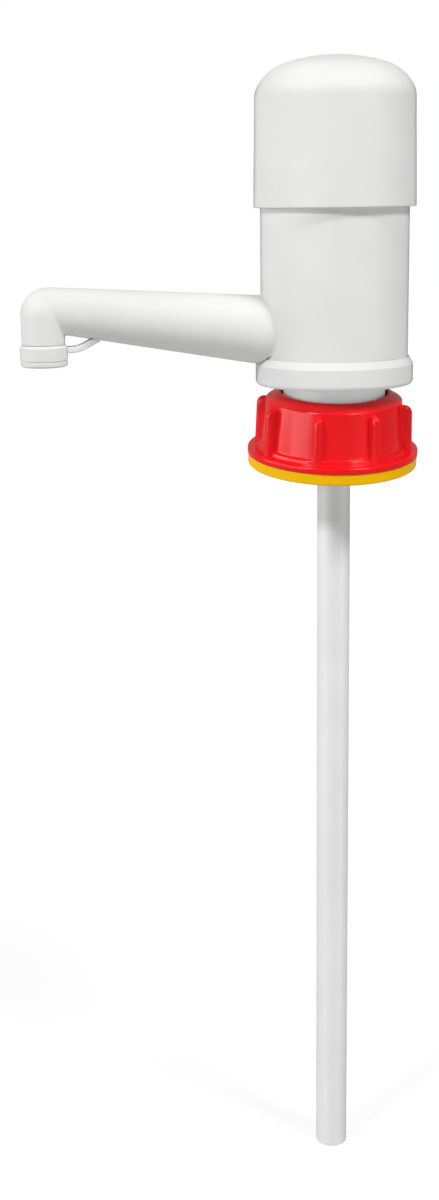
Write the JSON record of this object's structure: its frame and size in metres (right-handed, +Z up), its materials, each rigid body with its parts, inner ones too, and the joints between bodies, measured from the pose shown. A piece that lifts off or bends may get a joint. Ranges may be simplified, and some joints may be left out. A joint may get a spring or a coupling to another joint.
{
  "type": "drum dispensing pump",
  "caption": "Hand pump for a canister or drum: domed push head over a cylinder, tapered side spout with a capped turned-down end, ribbed screw cap with a ring, and a long dip tube.",
  "frame": {"origin": "on the pump's axis, at the underside of the flat gasket, where it meets the canister's rim", "axes": "+Z up along the pump's axis, -X along the spout"},
  "size_m": [0.1594, 0.0692, 0.4649],
  "materials": {
    "white_plastic": "white moulded plastic, satin to gloss",
    "natural_plastic": "natural white plastic, satin",
    "red_plastic": "red moulded plastic, gloss",
    "yellow_plastic": "yellow moulded plastic, gloss",
    "steel": "bright stainless steel",
    "rubber": "black rubber, matt"
  },
  "bodies": {
    "pump_body": {"spring_seat": "natural_plastic", "body_shell": "white_plastic", "pump_barrel": "natural_plastic", "barrel_head": "white_plastic", "rod_wiper": "rubber", "barrel_seal": "rubber", "base_collar": "white_plastic", "base_seal": "rubber", "inlet_neck": "white_plastic", "neck_clip": "steel", "inlet_cage": "natural_plastic", "spout": "white_plastic", "spout_seal": "rubber", "outlet_seat": "natural_plastic", "strap_stud": "white_plastic", "flat_gasket": "rubber", "slip_washer": "natural_plastic", "dip_tube": "natural_plastic"},
    "plunger": {"push_cap": "white_plastic", "piston_rod": "white_plastic", "piston": "natural_plastic", "piston_seal": "rubber", "piston_band": "natural_plastic", "piston_screw": "steel", "return_spring": "steel"},
    "inlet_valve": {"inlet_ball": "steel"},
    "outlet_valve": {"outlet_ball": "steel", "outlet_spring": "steel"},
    "nut_rocker": {"tamper_ring": "yellow_plastic"},
    "nut": {"union_nut": "red_plastic"},
    "outlet_closure": {"outlet_cap": "white_plastic", "cap_liner": "rubber", "cap_strap": "white_plastic"}
  },
  "joints": [
    {"name": "plunger_stroke", "type": "slide", "parent": "pump_body", "child": "plunger", "axis": [0, 0, -1], "range_m": [0, 0.03], "stiffness_N_per_m": 500, "springref_m": -0.015, "deforming": ["return_spring"]},
    {"name": "nut_tilt", "type": "hinge", "parent": "pump_body", "child": "nut_rocker", "pos_m": [0, -0.0262, 0.0097], "axis": [1, 0, 0], "range_deg": [-7, 0]},
    {"name": "nut_turn", "type": "hinge", "parent": "nut_rocker", "child": "nut", "pos_m": [0, 0, 0.0113], "axis": [0, -0.1219, 0.9925], "range_deg": [-192, 0]},
    {"name": "inlet_ball_lift", "type": "slide", "parent": "pump_body", "child": "inlet_valve", "axis": [0, 0, 1], "range_m": [0, 0.004]},
    {"name": "outlet_ball_open", "type": "slide", "parent": "pump_body", "child": "outlet_valve", "axis": [-1, 0, 0], "range_m": [0, 0.003], "stiffness_N_per_m": 100, "springref_m": -0.003, "deforming": ["outlet_spring"]},
    {"name": "outlet_cap_pull", "type": "slide", "parent": "pump_body", "child": "outlet_closure", "axis": [0, 0, -1], "range_m": [0, 0.008], "deforming": ["cap_strap"]}
  ],
  "couplings": [
    {"joint": "nut_tilt", "follows": "nut_turn", "ratio": 0.036458}
  ]
}
